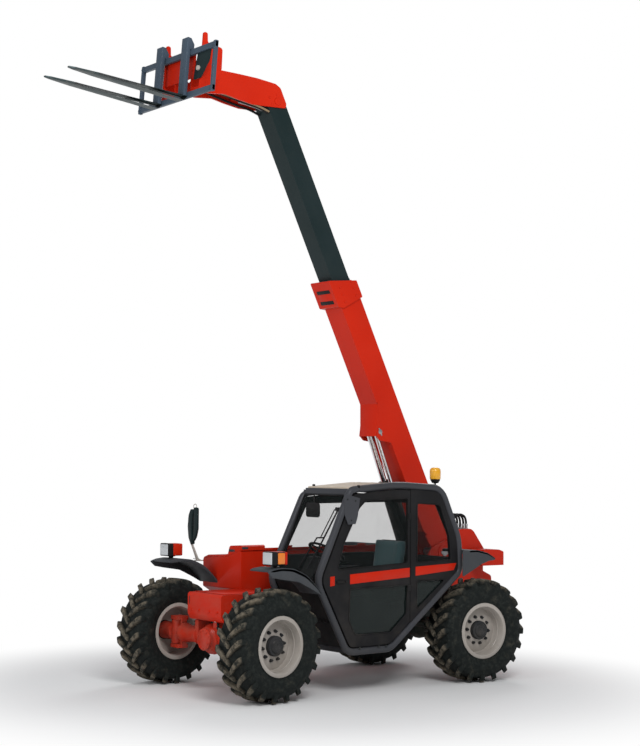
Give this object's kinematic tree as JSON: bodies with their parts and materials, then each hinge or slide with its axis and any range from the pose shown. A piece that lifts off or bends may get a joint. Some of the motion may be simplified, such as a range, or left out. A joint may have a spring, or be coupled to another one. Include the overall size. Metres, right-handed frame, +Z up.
{
  "type": "telescopic handler",
  "caption": "Telescopic handler with a side cab, a raised telescopic boom beside the engine cover, pallet forks on a tilting carriage, and steered wheels.",
  "frame": {"origin": "on the ground, under the middle of the whole machine as it stands with its boom raised", "axes": "+X forward along the machine, +Y to the left of someone in the seat, +Z up"},
  "size_m": [5.5814, 2.1972, 6.4462],
  "materials": {
    "frame_paint": "satin dark grey paint",
    "hull_red": "gloss red paint",
    "cab_grey": "satin charcoal paint",
    "cab_lining": "grained black plastic",
    "roof_cream": "pale roof skin",
    "glass_tint": "slightly green tinted",
    "fender_grey": "moulded grey plastic",
    "boom_red": "gloss red paint",
    "boom_dark": "satin dark green-black paint",
    "carriage_blue": "satin blue-grey paint",
    "fork_steel": "worn dark steel",
    "pin_steel": "bare steel",
    "rod_chrome": "polished rod",
    "tyre_rubber": "matt rubber",
    "rim_beige": "satin warm grey paint",
    "axle_red": "satin red paint",
    "seat_cloth": "teal-grey cloth",
    "black_plastic": "black plastic",
    "amber": "amber lens",
    "lens_white": "clear lens",
    "hose_rubber": "hose rubber"
  },
  "bodies": {
    "chassis": {"beacon": "amber", "boom_pin": "pin_steel", "cab_frame": "cab_grey", "cab_roof": "roof_cream", "cab_shell": "cab_lining", "cab_windows": "glass_tint", "chassis_frame": "hull_red", "counterweight": "hull_red", "dashboard": "black_plastic", "drivetrain": "frame_paint", "engine_block": "frame_paint", "engine_hood": "hull_red", "fenders": "fender_grey", "front_axle": "axle_red", "lamp_housings": "black_plastic", "lamp_lenses": "lens_white", "rear_axle": "axle_red", "seat": "seat_cloth", "side_mirror": "black_plastic", "steering_wheel": "black_plastic", "tower_hoses": "hose_rubber", "windshield": "glass_tint"},
    "hood_lid": {"hood_lid": "hull_red"},
    "door": {"door_frame": "cab_lining", "door_glass": "glass_tint"},
    "outer_boom": {"outer_boom": "boom_red"},
    "inner_boom": {"inner_boom": "boom_dark", "boom_head": "boom_red"},
    "carriage": {"carriage_hitch": "boom_red", "fork_carriage": "carriage_blue", "forks": "fork_steel"},
    "lift_barrels": {"lift_barrels": "frame_paint"},
    "lift_rods": {"lift_rods": "rod_chrome"},
    "tilt_barrel": {"tilt_barrel": "frame_paint"},
    "tilt_rod": {"tilt_rod": "rod_chrome"},
    "knuckle_front_left": {"knuckle_front_left": "axle_red"},
    "wheel_front_left": {"tyre_front_left": "tyre_rubber", "rim_front_left": "rim_beige"},
    "knuckle_front_right": {"knuckle_front_right": "axle_red"},
    "wheel_front_right": {"tyre_front_right": "tyre_rubber", "rim_front_right": "rim_beige"},
    "knuckle_rear_left": {"knuckle_rear_left": "axle_red"},
    "wheel_rear_left": {"tyre_rear_left": "tyre_rubber", "rim_rear_left": "rim_beige"},
    "knuckle_rear_right": {"knuckle_rear_right": "axle_red"},
    "wheel_rear_right": {"tyre_rear_right": "tyre_rubber", "rim_rear_right": "rim_beige"}
  },
  "joints": [
    {"name": "boom_lift", "type": "hinge", "parent": "chassis", "child": "outer_boom", "pos_m": [-1.95466, -0.07, 1.29682], "axis": [0, -1, 0], "range_deg": [-65.5, 0]},
    {"name": "boom_extend", "type": "slide", "parent": "outer_boom", "child": "inner_boom", "axis": [0.4462, 0, 0.8949], "range_m": [-1.75, 0]},
    {"name": "fork_tilt", "type": "hinge", "parent": "inner_boom", "child": "carriage", "pos_m": [1.22417, -0.07, 5.9917], "axis": [0, 1, 0], "range_deg": [-70, 60]},
    {"name": "lift_barrel_swing", "type": "hinge", "parent": "chassis", "child": "lift_barrels", "pos_m": [-1.7207, -0.07, 0.97971], "axis": [0, -1, 0], "range_deg": [-66.5, 0.5]},
    {"name": "lift_rod_slide", "type": "slide", "parent": "lift_barrels", "child": "lift_rods", "axis": [0.3808, 0, 0.9247], "range_m": [-0.42817, 0.002]},
    {"name": "tilt_barrel_swing", "type": "hinge", "parent": "inner_boom", "child": "tilt_barrel", "pos_m": [0.34767, -0.07, 5.9594], "axis": [0, 1, 0], "range_deg": [-0.74, 0.7]},
    {"name": "tilt_rod_slide", "type": "slide", "parent": "tilt_barrel", "child": "tilt_rod", "axis": [0.9662, 0, 0.2579], "range_m": [-0.19742, 0.1695]},
    {"name": "door_hinge", "type": "hinge", "parent": "chassis", "child": "door", "pos_m": [-0.7337, 0.944, 1.09971], "axis": [0, 0, 1], "range_deg": [0, 85]},
    {"name": "hood_lid_hinge", "type": "hinge", "parent": "chassis", "child": "hood_lid", "pos_m": [-0.3557, -0.292, 1.39171], "axis": [-1, 0, 0], "range_deg": [0, 60]},
    {"name": "front_left_steer", "type": "hinge", "parent": "chassis", "child": "knuckle_front_left", "pos_m": [0.9993, 0.69, 0.53471], "axis": [0, 0, 1], "range_deg": [-41.3, 28.7]},
    {"name": "front_left_spin", "type": "hinge", "parent": "knuckle_front_left", "child": "wheel_front_left", "pos_m": [0.9812, 0.854, 0.53471], "axis": [-0.1097, 0.994, 0], "continuous": true},
    {"name": "front_right_steer", "type": "hinge", "parent": "chassis", "child": "knuckle_front_right", "pos_m": [0.9993, -0.69, 0.53471], "axis": [0, 0, 1], "range_deg": [-41.3, 28.7]},
    {"name": "front_right_spin", "type": "hinge", "parent": "knuckle_front_right", "child": "wheel_front_right", "pos_m": [1.01741, -0.854, 0.53471], "axis": [-0.1097, 0.994, 0], "continuous": true},
    {"name": "rear_left_steer", "type": "hinge", "parent": "chassis", "child": "knuckle_rear_left", "pos_m": [-1.7107, 0.69, 0.53471], "axis": [0, 0, -1], "range_deg": [-41.3, 28.7]},
    {"name": "rear_left_spin", "type": "hinge", "parent": "knuckle_rear_left", "child": "wheel_rear_left", "pos_m": [-1.69259, 0.854, 0.53471], "axis": [0.1097, 0.994, 0], "continuous": true},
    {"name": "rear_right_steer", "type": "hinge", "parent": "chassis", "child": "knuckle_rear_right", "pos_m": [-1.7107, -0.69, 0.53471], "axis": [0, 0, -1], "range_deg": [-41.3, 28.7]},
    {"name": "rear_right_spin", "type": "hinge", "parent": "knuckle_rear_right", "child": "wheel_rear_right", "pos_m": [-1.7288, -0.854, 0.53471], "axis": [0.1097, 0.994, 0], "continuous": true}
  ],
  "couplings": [
    {"joint": "lift_barrel_swing", "follows": "boom_lift", "ratio": 1.0076},
    {"joint": "lift_rod_slide", "follows": "boom_lift", "m_per_rad": 0.37279},
    {"joint": "tilt_barrel_swing", "follows": "fork_tilt", "ratio": 0.003366},
    {"joint": "tilt_rod_slide", "follows": "fork_tilt", "m_per_rad": 0.15995},
    {"joint": "front_right_steer", "follows": "front_left_steer", "ratio": 1},
    {"joint": "rear_right_steer", "follows": "rear_left_steer", "ratio": 1}
  ]
}
